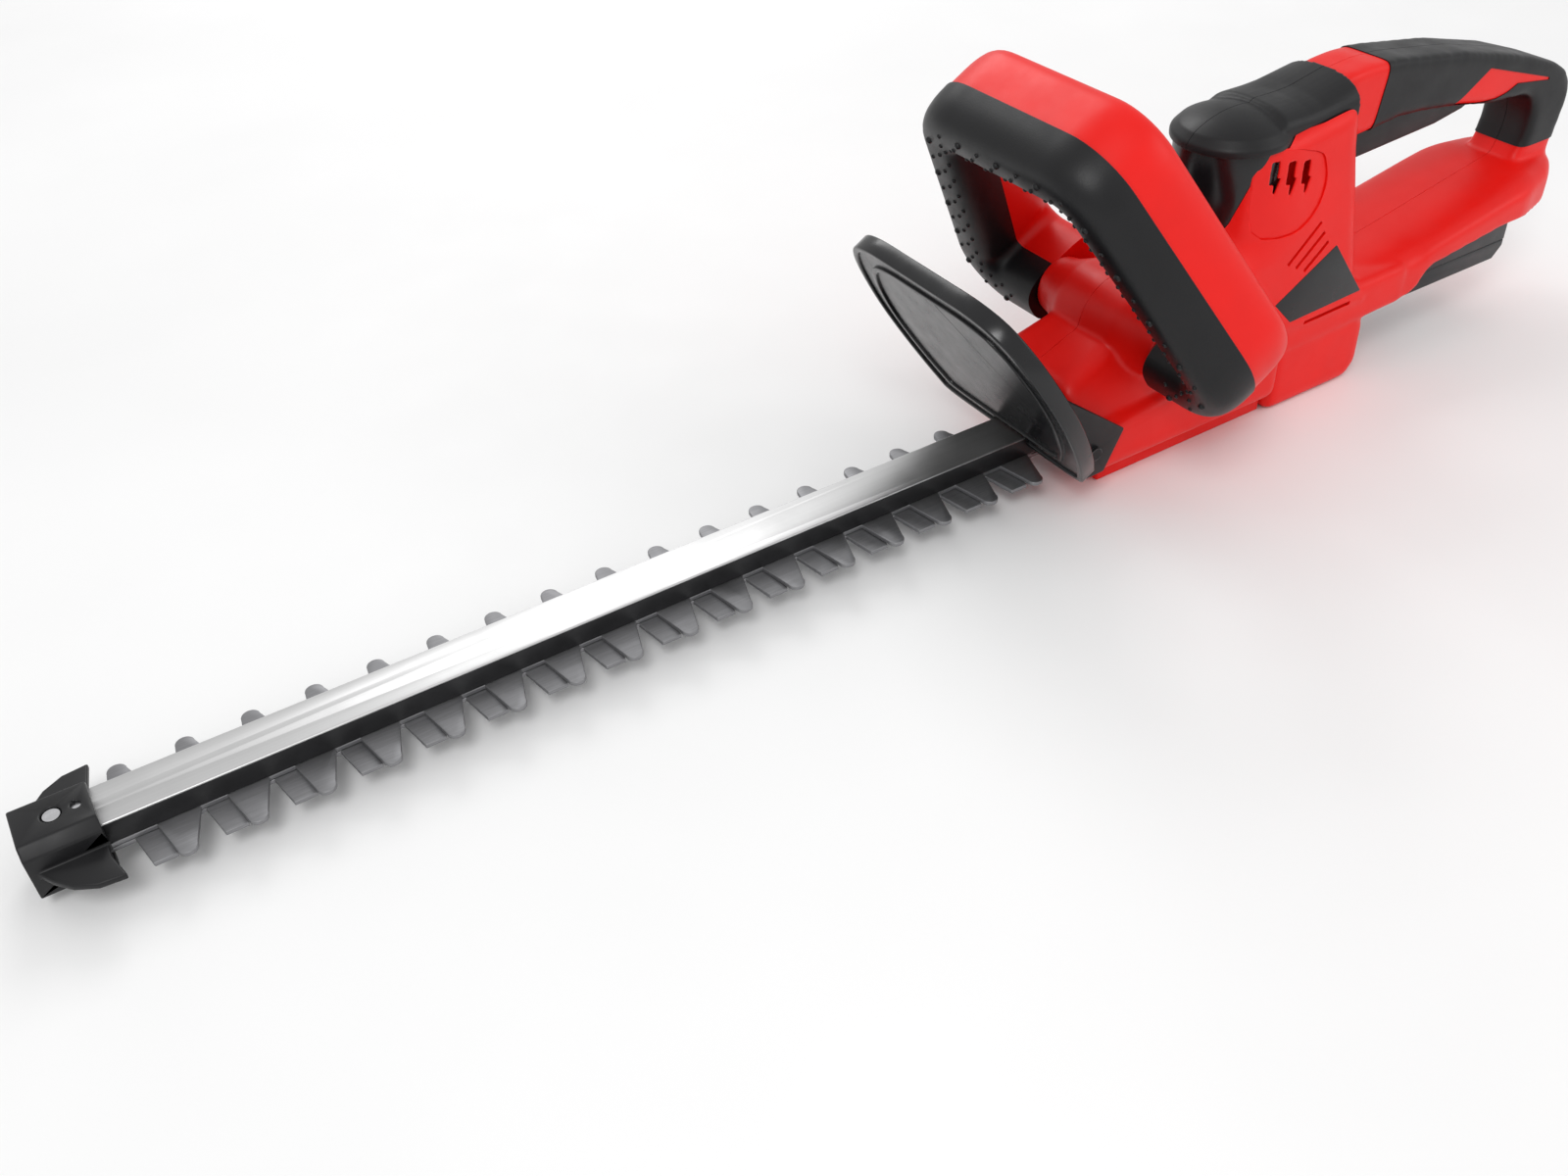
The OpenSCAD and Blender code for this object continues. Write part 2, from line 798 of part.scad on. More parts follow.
module trigger() {
    color([0.08, 0.08, 0.09]) place() difference() {
        union() {
            slab([[365, 106], [372, 104.5], [400, 106], [440, 108], [462, 111.5], [468, 114],
                [468, 123], [440, 125], [400, 128], [365, 128]], -8, 8);
            pin_y(pivot_x, pivot_z, 4.4, -8, 8);
        }
        pin_y(pivot_x, pivot_z, 2.05, -10, 10);
        block(380, 392, -4, 4, 120, 140);
    }
}

module trigger_pin() {
    color("silver") place() pin_y(pivot_x, pivot_z, 2, -11, 11);
}

module trigger_spring() {
    turns = 11;
    pitch = 2.8;
    wire = 0.9;
    color("silver") place() for (i = [0 : turns - 1]) translate([386, 0, 120.8 + i * pitch])
        rotate_extrude() translate([2.8, 0]) circle(r = wire / 2);
}

module switch_module() {
    color([0.2, 0.2, 0.22]) place() difference() {
        block(393, 422, -8, 8, 134.5, 147);
        pin_z(400, 0, 2.05, 130, 144);
    }
}

module switch_plunger() {
    color("white") place() pin_z(400, 0, 2, 128.3, 137.5);
}

// ---------------------------------------------------------------- battery

pack_outline = [[pack_front_x, pack_z], [485, pack_z], [pack_rear_x, 28], [pack_rear_x, 43.6],
    [400, 43.6], [pack_front_x, 40.5]];

module pack_solid(inset) {
    slab(pack_outline, -pack_half + inset, pack_half - inset);
}

module cell_bores(r) {
    for (i = [0 : 4]) pin_y(pack_front_x + 11.6 + i * cell_pitch, cell_z, r, -32.7, 32.7);
}

module pack_lower() {
    color([0.14, 0.14, 0.15]) place() difference() {
        intersection() {
            pack_solid(0);
            block(380, 500, -50, 50, pack_z - 1, cell_z);
        }
        cell_bores(cell_r + 0.1);
        latch_room();
    }
}

module pack_upper() {
    color([0.1, 0.1, 0.11]) place() difference() {
        intersection() {
            pack_solid(0);
            block(380, 500, -50, 50, cell_z, 70);
        }
        cell_bores(cell_r + 0.1);
        latch_room();
        for (s = [-1, 1]) block(380, 389.2, s * 12 - 1.5, s * 12 + 1.5, 33, 37);
    }
}

module pack_cells() {
    color("steelblue") place() cell_bores(cell_r);
}

module latch_room() {
    block(483, 500, -13, 13, 28, 41);
}

module pack_latch() {
    color([0.3, 0.3, 0.32]) place() block(484, 493.6, -12.5, 12.5, 31.2, 40.4);
}

module latch_spring() {
    color("silver") place() for (i = [0 : 2]) translate([488, 0, 28.5 + 1.1 * i])
        rotate_extrude() translate([2.6, 0]) circle(r = 0.4);
}

module terminal_block() {
    color([0.15, 0.15, 0.15]) place() {
        block(373, 386, -20, 20, 26, 37);
        for (s = [-1, 1]) block(385.9, 388.8, s * 12 - 0.6, s * 12 + 0.6, 34, 36);
    }
}

// ---------------------------------------------------------------- parts

guide_bar();
bar_cover();
upper_blade();
lower_blade();
blade_bolts();
blade_washers();
blade_nuts();
tip_guard();
tip_screws();
gearbox_case();
gearbox_plate();
drive_gear();
gear_axle();
axle_washer();
motor_pinion();
motor_shaft();
motor_can();
motor_end_cap();
motor_screws();
cooling_fan();
blade_seal();
housing_left();
housing_right();
motor_cap_left();
motor_cap_right();
barrel_cover();
vent_panel_left();
vent_panel_right();
label_left();
label_right();
base_cover();
base_screws();
hand_guard();
guard_bracket_left();
guard_bracket_right();
guard_screws();
handle_front_shell();
handle_rear_shell();
handle_screws();
grip_pad_left();
grip_pad_right();
post_pad_left();
post_pad_right();
trigger();
trigger_pin();
trigger_spring();
switch_module();
switch_plunger();
housing_screws();
terminal_block();
pack_lower();
pack_upper();
pack_cells();
pack_latch();
latch_spring();
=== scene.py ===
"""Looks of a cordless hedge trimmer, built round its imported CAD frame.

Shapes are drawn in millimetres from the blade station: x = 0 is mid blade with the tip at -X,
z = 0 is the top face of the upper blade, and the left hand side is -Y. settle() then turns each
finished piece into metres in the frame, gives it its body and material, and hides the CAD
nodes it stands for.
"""
import json
from math import cos, hypot, pi, radians, sin

import bmesh
import bpy
from mathutils import Matrix, Vector


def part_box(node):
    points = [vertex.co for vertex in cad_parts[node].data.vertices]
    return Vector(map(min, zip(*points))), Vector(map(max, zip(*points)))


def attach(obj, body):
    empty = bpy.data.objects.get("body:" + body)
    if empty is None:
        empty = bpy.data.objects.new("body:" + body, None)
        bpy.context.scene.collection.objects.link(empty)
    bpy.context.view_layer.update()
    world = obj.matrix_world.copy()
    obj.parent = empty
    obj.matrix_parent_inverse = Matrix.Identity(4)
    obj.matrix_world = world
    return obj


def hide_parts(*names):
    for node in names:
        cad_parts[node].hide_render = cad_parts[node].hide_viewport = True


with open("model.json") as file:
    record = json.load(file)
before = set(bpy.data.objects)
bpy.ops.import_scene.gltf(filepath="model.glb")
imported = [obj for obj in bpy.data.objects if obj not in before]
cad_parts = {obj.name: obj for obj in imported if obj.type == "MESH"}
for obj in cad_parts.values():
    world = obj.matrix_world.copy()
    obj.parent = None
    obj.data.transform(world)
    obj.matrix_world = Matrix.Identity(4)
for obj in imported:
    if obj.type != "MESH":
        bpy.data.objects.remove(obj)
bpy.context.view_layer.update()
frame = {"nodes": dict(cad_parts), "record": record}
MM = 0.001
TIP_X = -373.0
STATION = Vector((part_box("tip_guard")[0][0] - TIP_X * MM, 0.0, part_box("upper_blade")[1][2]))
TO_FRAME = Matrix.Translation(STATION) @ Matrix.Scale(MM, 4)
TO_STATION = TO_FRAME.inverted()

# ------------------------------------------------------------------ sizes in millimetres

FLOOR_Z = -18.0
MOTOR_X = 283.0
BODY_HALF = 46.0
GRIP_HALF = 17.0
RAIL_HALF = 40.4
PACK_HALF = 36.5
LEAN = radians(30)
HUB = Vector((218.0, 0.0, 60.0))
CROSSPIECE = Vector((212.0, 0.0, 58.0))
HANDLE_SIDE = 138.0
HANDLE_LOW_HALF = 90.0
HANDLE_TOP_HALF = 57.0
HANDLE_CORNER = 20.0
GUARD_FOOT = Vector((145.8, 0.0, 7.3))
GUARD_T = 3.6
SEAM = 0.16
BODY_VOXEL = 1.5
WALL_LEAN = 0.09
LEAN_FROM = 40
WAIST_X = 305
WAIST_FROM = 80
WAIST_RISE = 14
WAIST_PULL = 0.005


# ------------------------------------------------------------------ mesh helpers

def add(name, mesh):
    obj = bpy.data.objects.new(name, mesh)
    bpy.context.scene.collection.objects.link(obj)
    return obj


def from_bmesh(name, bm):
    bmesh.ops.recalc_face_normals(bm, faces=bm.faces)
    mesh = bpy.data.meshes.new(name)
    bm.to_mesh(mesh)
    bm.free()
    return add(name, mesh)


def drop(*objects):
    for obj in objects:
        mesh = obj.data
        bpy.data.objects.remove(obj)
        bpy.data.meshes.remove(mesh)


def apply(obj, kind, **settings):
    """Runs one modifier on an object's mesh at once."""
    modifier = obj.modifiers.new(kind.lower(), kind)
    for key, value in settings.items():
        setattr(modifier, key, value)
    graph = bpy.context.evaluated_depsgraph_get()
    mesh = bpy.data.meshes.new_from_object(obj.evaluated_get(graph))
    old = obj.data
    obj.modifiers.clear()
    obj.data = mesh
    bpy.data.meshes.remove(old)
    return obj


def bevel(obj, width, segments=3, angle=50):
    return apply(obj, "BEVEL", width=width, segments=segments, limit_method="ANGLE",
                 angle_limit=radians(angle), use_clamp_overlap=False)


def soften(obj, voxel, rounds):
    """Fuses overlapping forms into one skin, and rounds its edges and inner corners."""
    apply(obj, "REMESH", mode="VOXEL", voxel_size=voxel)
    return apply(obj, "SMOOTH", factor=0.5, iterations=rounds)


def cut(obj, tool, operation="DIFFERENCE", keep=False):
    apply(obj, "BOOLEAN", operation=operation, object=tool, solver="MANIFOLD")
    if not keep:
        drop(tool)
    return obj


def join(name, *objects):
    bm = bmesh.new()
    for obj in objects:
        bm.from_mesh(obj.data)
    drop(*objects)
    return from_bmesh(name, bm)


def fuse(name, *objects):
    """The true union of several closed forms."""
    whole = objects[0]
    for obj in objects[1:]:
        cut(whole, obj, "UNION")
    whole.name = name
    return whole


def twin(obj, name):
    return add(name, obj.data.copy())


def to_left(obj):
    """Turns a piece drawn for the right hand side into the left hand one."""
    obj.data.transform(Matrix.Scale(-1, 4, Vector((0, 1, 0))))
    obj.data.flip_normals()


def slab(outline, y0, y1, lean_in=0.0, z_ref=0.0):
    """A side outline of [x, z] points given a width. lean_in narrows it with height."""
    bm = bmesh.new()
    rings = []
    for y in (y0, y1):
        ring = []
        for x, z in outline:
            side = y - (1 if y > 0 else -1) * lean_in * (z - z_ref)
            ring.append(bm.verts.new((x, side, z)))
        rings.append(ring)
    close_rings(bm, rings)
    return from_bmesh("slab", bm)


def close_rings(bm, rings):
    """Skins a list of rings and caps both ends."""
    count = len(rings[0])
    for a, b in zip(rings, rings[1:]):
        for k in range(count):
            n = (k + 1) % count
            bm.faces.new((a[k], a[n], b[n], b[k]))
    bm.faces.new(rings[0])
    bm.faces.new(list(reversed(rings[-1])))


def loft(rings):
    """A closed solid through rings of points, which all have the same count."""
    bm = bmesh.new()
    close_rings(bm, [[bm.verts.new(p) for p in ring] for ring in rings])
    return from_bmesh("loft", bm)


def block(x0, x1, y0, y1, z0, z1):
    return slab([(x0, z0), (x1, z0), (x1, z1), (x0, z1)], y0, y1)


def lathe(profile, centre, axis="Z", steps=64):
    """A solid of revolution: profile is a list of (radius, height) points."""
    turn = Matrix.Rotation(-pi / 2, 3, "X") if axis == "Y" else Matrix.Identity(3)
    rings = []
    for r, h in profile:
        ring = []
        for i in range(steps):
            a = 2 * pi * i / steps
            ring.append(centre + turn @ Vector((r * cos(a), r * sin(a), h)))
        rings.append(ring)
    return loft(rings)


def drum(x, z, r, y0, y1, steps=64):
    return lathe([(r, y0), (r, y1)], Vector((x, 0, z)), "Y", steps)


def post(x, y, r, z0, z1, steps=64):
    return lathe([(r, z0), (r, z1)], Vector((x, y, 0)), "Z", steps)


def level(x, table):
    """The height at x on a line of straight stretches."""
    for (xa, za), (xb, zb) in zip(table, table[1:]):
        if x <= xb:
            return za + (zb - za) * max(0.0, (x - xa) / (xb - xa))
    return table[-1][1]


def curve(points, steps=6):
    """A closed outline drawn smoothly through its points."""
    out = []
    count = len(points)
    for i in range(count):
        a, b, c, d = (Vector(points[(i + k) % count]) for k in (-1, 0, 1, 2))
        for k in range(steps):
            t = k / steps
            out.append(0.5 * (2 * b + (c - a) * t + (2 * a - 5 * b + 4 * c - d) * t ** 2
                              + (3 * b - a - 3 * c + d) * t ** 3))
    return [(p.x, p.y) for p in out]


def power(value, exponent):
    return (1 if value >= 0 else -1) * abs(value) ** exponent


def from_cad(node, name):
    """A welded copy of a CAD node's mesh, back in millimetres."""
    mesh = frame["nodes"][node].data.copy()
    mesh.transform(TO_STATION)
    bm = bmesh.new()
    bm.from_mesh(mesh)
    bpy.data.meshes.remove(mesh)
    bmesh.ops.remove_doubles(bm, verts=bm.verts, dist=0.002)
    bmesh.ops.dissolve_limit(bm, angle_limit=radians(2), verts=bm.verts, edges=bm.edges)
    return from_bmesh(name, bm)


def settle(obj, name, body, slot, material, *nodes, sharp=35):
    """Puts a finished piece in the frame."""
    obj.name = name
    obj.data.transform(TO_FRAME)
    obj.data.materials.clear()
    obj.data.materials.append(material)
    obj.data.shade_smooth()
    obj.data.set_sharp_from_angle(angle=radians(sharp))
    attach(obj, body)
    if nodes:
        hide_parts(*nodes)
    return obj


def in_plane(origin, u, v, w):
    """A point of a plane that leans to the tip: u across, v up the lean, w to the rear."""
    return origin + Vector((w * cos(LEAN) - v * sin(LEAN), u, w * sin(LEAN) + v * cos(LEAN)))


# ------------------------------------------------------------------ materials

class Nodes:
    """Short calls to build one material's nodes."""

    def __init__(self, name):
        self.material = bpy.data.materials.new(name)
        self.material.use_nodes = True
        self.tree = self.material.node_tree
        self.shader = self.tree.nodes["Principled BSDF"]
        self.place = self.tree.nodes.new("ShaderNodeTexCoord").outputs["Object"]

    def add(self, kind, **sockets):
        node = self.tree.nodes.new(kind)
        for key, value in sockets.items():
            socket = node.inputs[key.replace("_", " ")]
            if hasattr(value, "is_output"):
                self.tree.links.new(value, socket)
            else:
                socket.default_value = value
        return node

    def stretched(self, scale):
        node = self.add("ShaderNodeMapping", Vector=self.place)
        node.inputs["Scale"].default_value = scale
        return node.outputs["Vector"]

    def noise(self, scale, detail=3.0, rough=0.5, vector=None):
        node = self.add("ShaderNodeTexNoise", Vector=vector or self.place, Scale=scale,
                        Detail=detail, Roughness=rough)
        return node.outputs["Fac"]

    def span(self, value, low, high, start=0.3, end=0.7):
        node = self.add("ShaderNodeMapRange", Value=value)
        node.inputs["From Min"].default_value = start
        node.inputs["From Max"].default_value = end
        node.inputs["To Min"].default_value = low
        node.inputs["To Max"].default_value = high
        return node.outputs["Result"]

    def blend(self, factor, a, b):
        node = self.tree.nodes.new("ShaderNodeMix")
        node.data_type = "RGBA"
        self.tree.links.new(factor, node.inputs[0])
        for socket, value in ((node.inputs[6], a), (node.inputs[7], b)):
            if hasattr(value, "is_output"):
                self.tree.links.new(value, socket)
            else:
                socket.default_value = (*value, 1)
        return node.outputs[2]

    def edges(self, low=0.86, high=0.985):
        """1 on raised or inner edges, 0 elsewhere, broken up by noise."""
        soft = self.add("ShaderNodeBevel", Radius=0.0007)
        soft.samples = 4
        flat = self.tree.nodes.new("ShaderNodeNewGeometry")
        match = self.tree.nodes.new("ShaderNodeVectorMath")
        match.operation = "DOT_PRODUCT"
        self.tree.links.new(soft.outputs["Normal"], match.inputs[0])
        self.tree.links.new(flat.outputs["Normal"], match.inputs[1])
        rim = self.span(match.outputs["Value"], 1, 0, low, high)
        broken = self.span(self.noise(160), 0, 1, 0.40, 0.62)
        node = self.tree.nodes.new("ShaderNodeMath")
        node.operation = "MULTIPLY"
        self.tree.links.new(rim, node.inputs[0])
        self.tree.links.new(broken, node.inputs[1])
        return node.outputs[0]

    def bump(self, height, distance, strength=1.0, below=None):
        node = self.add("ShaderNodeBump", Height=height, Strength=strength, Distance=distance)
        if below is not None:
            self.tree.links.new(below, node.inputs["Normal"])
        return node.outputs["Normal"]

    def finish(self, colour, roughness, normal, metallic=0.0, ior=1.5, shine=0.5):
        shader = self.shader.inputs
        for key, value in (("Base Color", colour), ("Roughness", roughness), ("Normal", normal)):
            self.tree.links.new(value, shader[key])
        shader["Metallic"].default_value = metallic
        shader["Coat Weight"].default_value = 0.0
        shader["IOR"].default_value = ior
        shader["Specular IOR Level"].default_value = shine
        return self.material


def plastic(name, colour, rough, grain=0.00003, size=2600, shine=0.45):
    """Moulded plastic: fine spark grain, faint flow marks and paler edges."""
    n = Nodes(name)
    worn = [min(1.0, c * 1.25 + 0.015) for c in colour]
    clouded = n.blend(n.span(n.noise(38, 4), 0, 1), [c * 0.94 for c in colour], colour)
    base = n.blend(n.edges(), clouded, worn)
    polish = n.span(n.noise(70, 5, 0.6), rough - 0.05, rough + 0.06)
    spark = n.bump(n.noise(size, 2), grain)
    flow = n.bump(n.noise(55, 1), grain * 2.5, 0.5, spark)
    return n.finish(base, polish, flow, shine=shine)


def rubber(name, colour, rough, size=1500, depth=0.00006):
    """Soft overmould with a fine leathery stipple and slight rubbing marks."""
    n = Nodes(name)
    rubbed = n.blend(n.span(n.noise(24, 5), 0, 1), [c * 0.8 for c in colour], colour)
    base = n.blend(n.edges(), rubbed, [c * 1.5 + 0.006 for c in colour])
    polish = n.span(n.noise(45, 5, 0.6), rough - 0.07, rough + 0.08)
    stipple = n.bump(n.noise(size, 3), depth)
    return n.finish(base, polish, stipple, ior=1.45, shine=0.38)


def brushed(name, colour, rough, along=(6, 900, 900), depth=0.000012, dark=0.82):
    """Ground or brushed metal with long scratches and brighter edges."""
    n = Nodes(name)
    lines = n.noise(1.0, 6, 0.6, n.stretched(along))
    tone = n.blend(n.span(lines, 0, 1), [c * dark for c in colour], colour)
    base = n.blend(n.edges(), tone, [min(1.0, c * 1.15) for c in colour])
    polish = n.span(n.noise(30, 4), rough - 0.05, rough + 0.07)
    return n.finish(base, polish, n.bump(lines, depth), metallic=1.0)


def coated_steel(name, colour, rough):
    """Blackened steel with a slight orange peel and bare metal at worn edges."""
    n = Nodes(name)
    mottled = n.blend(n.span(n.noise(60, 5), 0, 1), colour, [c * 1.7 for c in colour])
    base = n.blend(n.edges(0.80, 0.96), mottled, (0.35, 0.35, 0.36))
    polish = n.span(n.noise(90, 4), rough - 0.06, rough + 0.08)
    return n.finish(base, polish, n.bump(n.noise(900, 2), 0.00003), metallic=0.6)


def cast_metal(name, colour, rough):
    """Die cast alloy with a grainy skin."""
    n = Nodes(name)
    tone = n.blend(n.span(n.noise(120, 5), 0, 1), [c * 0.75 for c in colour], colour)
    polish = n.span(n.noise(60, 4), rough - 0.08, rough + 0.08)
    return n.finish(tone, polish, n.bump(n.noise(1800, 3), 0.00008), metallic=0.9)


def felt():
    """Oiled felt of the blade seal."""
    n = Nodes("felt")
    tone = n.blend(n.span(n.noise(400, 6), 0, 1), (0.05, 0.035, 0.025), (0.16, 0.11, 0.08))
    polish = n.span(n.noise(200), 0.85, 0.98)
    return n.finish(tone, polish, n.bump(n.noise(1200, 6, 0.7), 0.0002))


MATERIALS = {
    "red_plastic": plastic("red_plastic", (0.80, 0.006, 0.003), 0.40, shine=0.30),
    "black_plastic": plastic("black_plastic", (0.008, 0.008, 0.009), 0.42, shine=0.35),
    "gloss_black": plastic("gloss_black", (0.006, 0.006, 0.007), 0.24, 0.000003, 900),
    "label_black": plastic("label_black", (0.008, 0.008, 0.009), 0.30, 0.000004, 900),
    "grey_plastic": plastic("grey_plastic", (0.10, 0.10, 0.11), 0.45),
    "white_plastic": plastic("white_plastic", (0.72, 0.72, 0.70), 0.40),
    "pack_plastic": plastic("pack_plastic", (0.012, 0.012, 0.014), 0.38, shine=0.4),
    "cell_wrap": plastic("cell_wrap", (0.05, 0.16, 0.34), 0.28, 0.000008, 500),
    "soft_grip": rubber("soft_grip", (0.007, 0.007, 0.008), 0.43),
    "silver_cover": brushed("silver_cover", (0.64, 0.64, 0.64), 0.42, (3, 500, 500), 0.000005,
                            0.93),
    "blade_steel": brushed("blade_steel", (0.30, 0.30, 0.31), 0.52, (60, 900, 900), 0.00001),
    "bright_steel": brushed("bright_steel", (0.68, 0.68, 0.70), 0.26, (400, 400, 40)),
    "gear_steel": brushed("gear_steel", (0.55, 0.50, 0.40), 0.33, (200, 200, 200)),
    "motor_steel": brushed("motor_steel", (0.45, 0.46, 0.48), 0.34, (300, 300, 20)),
    "dark_steel": coated_steel("dark_steel", (0.018, 0.018, 0.019), 0.38),
    "black_steel": coated_steel("black_steel", (0.014, 0.014, 0.015), 0.42),
    "cast_alloy": cast_metal("cast_alloy", (0.58, 0.59, 0.60), 0.45),
    "felt": felt(),
}


def carried_over():
    """Gives every CAD node the material of its record slot."""
    for entry in frame["record"]["subparts"]:
        mesh = frame["nodes"][entry["node"]].data
        mesh.materials.clear()
        mesh.materials.append(MATERIALS[entry["material_slot"]])


# ------------------------------------------------------------------ red housing

MID = [(225, 28), (225, 92), (262, 98), (270, 142), (346, 152), (347, 128), (350, 108),
       (358, 50), (372, 40), (372, 28)]
NOSE = [(154, 20), (154, 46), (198, 64), (236, 74), (240, 20)]
LOWER = [(152, -4), (300, -4), (300, 34), (236, 30), (152, 24)]
BULGE = [(300, FLOOR_Z), (366, FLOOR_Z), (373, -8), (373, 18), (366, 24), (300, 24)]
GRIP_OUTER = [(330, 140), (345, 160), (367, 162), (388, 160), (442, 151), (492, 138),
              (530, 124.5), (541, 118), (547, 110), (549, 100), (544, 72), (544, 60), (404, 44),
              (340, 44)]
GRIP_INNER = [(354, 118), (354, 80), (362, 40), (404, 44), (500, 64), (511, 70), (517, 82),
              (518, 94), (515, 104), (506, 111), (475, 114), (440, 121), (400, 126), (372, 124)]
RAIL_TOP = [(300, 36), (368, 45), (404, 50), (508, 69), (540, 70), (549, 63), (554, 54)]
RAIL_LOW = [(300, 20), (411, 24), (420, 37), (484, 44.6), (554, 45)]
RAIL_START = 300
RAIL_END = 554
RAIL_STEPS = 45
ARC_STEPS = 24
RAIL_WIDTH = [(300, RAIL_HALF), (500, RAIL_HALF), (528, 32), (545, 20), (554, 10)]
BAY = [(386.4, 15), (386.4, 41), (399.8, 44.2), (600, 44.2), (600, 10), (386.4, 10)]
VENT = [(273, 100), (298, 93), (314, 100), (321, 113), (320, 126), (312, 135), (277, 140)]
VENT_WINDOW = [(279, 108), (297, 99), (312, 104), (316, 113), (315, 124), (309, 131), (281, 135)]
LABEL = [(291, 55), (335, 77), (359, 43), (304, 41)]


def rail_form():
    """The long rail over the battery: a rounded section that follows its top and low lines."""
    rings = []
    for i in range(RAIL_STEPS + 1):
        x = RAIL_START + (RAIL_END - RAIL_START) * i / RAIL_STEPS
        top, low, half = level(x, RAIL_TOP), level(x, RAIL_LOW), level(x, RAIL_WIDTH)
        knee = low + (top - low) * 0.5
        ring = [Vector((x, half, low)), Vector((x, -half, low))]
        for k in range(ARC_STEPS + 1):
            a = pi * k / ARC_STEPS
            rise = knee + (top - knee) * power(sin(a), 0.7)
            ring.append(Vector((x, -half * power(cos(a), 0.6), rise)))
        rings.append(ring)
    return loft(rings)


def grip_form(swell=0.0):
    """The rear loop with rounded rims."""
    ring = slab(GRIP_OUTER, -GRIP_HALF - 0.8, GRIP_HALF + 0.8)
    cut(ring, slab(curve(GRIP_INNER, 4), -30, 30))
    soften(ring, BODY_VOXEL, 34)
    if swell:
        apply(ring, "DISPLACE", strength=swell, mid_level=0.0)
    return ring


def crosspiece_form():
    """The bar that carries the front handle, flared where it meets the body."""
    flare = [(25, 0), (24, 22), (20, 31), (17.2, 38), (16, BODY_HALF)]
    profile = [(r, -h) for r, h in reversed(flare)] + flare[1:]
    return lathe(profile, CROSSPIECE, "Y")


def hug(obj):
    """Leans the side walls in with height, and draws them in towards the barrel."""
    for vertex in obj.data.vertices:
        x, y, z = vertex.co
        inward = WALL_LEAN * max(0.0, z - LEAN_FROM)
        if x < WAIST_X:
            share = min(1.0, max(0.0, (z - WAIST_FROM) / WAIST_RISE))
            inward += WAIST_PULL * share * (WAIST_X - x) ** 2
        vertex.co.y -= (1 if y > 0 else -1) * inward
    return obj


def cells(obj, size):
    """Cuts a piece's faces up, so that it can bend."""
    return apply(obj, "REMESH", mode="VOXEL", voxel_size=size)


def housing_form():
    lower = bevel(slab(LOWER, -BODY_HALF, BODY_HALF), 7, 4)
    nose = bevel(slab(NOSE, -42, 42, lean_in=0.46, z_ref=20), 6, 3)
    mid = hug(cells(bevel(slab(MID, -42, 42), 9, 4, 60), BODY_VOXEL))
    bulge = bevel(slab(BULGE, -40, 40), 6, 4)
    skirt = bevel(slab([(300, 18), (402, 21), (402, 46), (300, 44)], -41, 41), 5, 3)
    whole = join("housing", lower, nose, mid, bulge, skirt, rail_form(), grip_form(),
                 crosspiece_form())
    return soften(whole, BODY_VOXEL, 7)


def slot_cutter(x0, z0, x1, z1, thick, y0, y1):
    """A round ended slot through the side wall between two [x, z] points."""
    dx, dz = x1 - x0, z1 - z0
    length = hypot(dx, dz)
    nx, nz = -dz / length * thick / 2, dx / length * thick / 2
    return slab([(x0 + nx, z0 + nz), (x1 + nx, z1 + nz), (x1 - nx, z1 - nz), (x0 - nx, z0 - nz)],
                y0, y1)


def housing_cutters():
    """Rooms for the pieces inside and for the covers, as one list of closed forms."""
    battery_bay = slab(BAY, -PACK_HALF - 0.5, PACK_HALF + 0.5)
    gearbox = block(217, 299.8, -32, 32, -20, 20)
    gearbox_rear = block(299, 303.5, -32, 32, -13.4, 20)
    blade_entry = block(140, 252, -13.4, 13.4, -20, 13)
    blade_seal = block(185, 200, -18, 18, -20, 18)
    base_cover = block(177.6, 300, -34.3, 34.3, -20, -4)
    motor = post(MOTOR_X, 0, 19.1, 10, 170)
    barrel = post(MOTOR_X, 0, 29.8, 92, 176, 96)
    cap_rim = post(MOTOR_X, 0, 32.4, 139.8, 176, 96)
    cap_saddle = block(MOTOR_X, 347.4, -28.5, 28.5, 146, 172)
    trigger_swing = slab([(363, 100), (474, 100), (474, 128), (440, 134), (425, 149),
                          (378, 150), (363, 148)], -9, 9)
    terminals = block(372, 387, -21, 21, 25, 38.5)
    tools = [battery_bay, gearbox, gearbox_rear, blade_entry, blade_seal, base_cover, motor,
             barrel, cap_rim, cap_saddle, trigger_swing, terminals]
    for side in (-1, 1):
        y0, y1 = sorted((side * 39.6, side * 60))
        tools.append(hug(cells(slab(curve(VENT, 3), y0, y1), 1.2)))
        y0, y1 = sorted((side * 22, side * 50))
        tools.append(slab(VENT_WINDOW, y0, y1))
        y0, y1 = sorted((side * 40.9, side * 60))
        tools.append(hug(slab(LABEL, y0, y1)))
        y0, y1 = sorted((side * 35, side * 60))
        for k in range(3):
            tools.append(slot_cutter(298 + k * 6.5, 76 - k * 3.6, 321 + k * 3.5, 94 - k * 6.5, 2.2,
                                     y0, y1))
        tools.append(slot_cutter(316, 36.5, 352, 37.5, 2.4, *sorted((side * 37, side * 60))))
    return tools


def screw_recesses():
    """Counterbores of the six housing screws, all on the right hand side."""
    places = [(166, 34, 36), (355, 152, 14), (530, 116, 14), (532, 80, 14), (341, 142, 30),
              (361, 35, 37)]
    return [drum(x, z, 3.6, y, 60, 32) for x, z, y in places]


def housing():
    whole = housing_form()
    for tool in housing_cutters() + screw_recesses():
        cut(whole, tool)
    right = cut(twin(whole, "housing_half"), block(100, 600, SEAM, 90, -40, 220), "INTERSECT")
    left = cut(whole, block(100, 600, -90, -SEAM, -40, 220), "INTERSECT")
    red = MATERIALS["red_plastic"]
    settle(left, "shell_left", "root", "red_plastic", red, "housing_left")
    settle(right, "shell_right", "root", "red_plastic", red, "housing_right")


# ------------------------------------------------------------------ grip sleeves

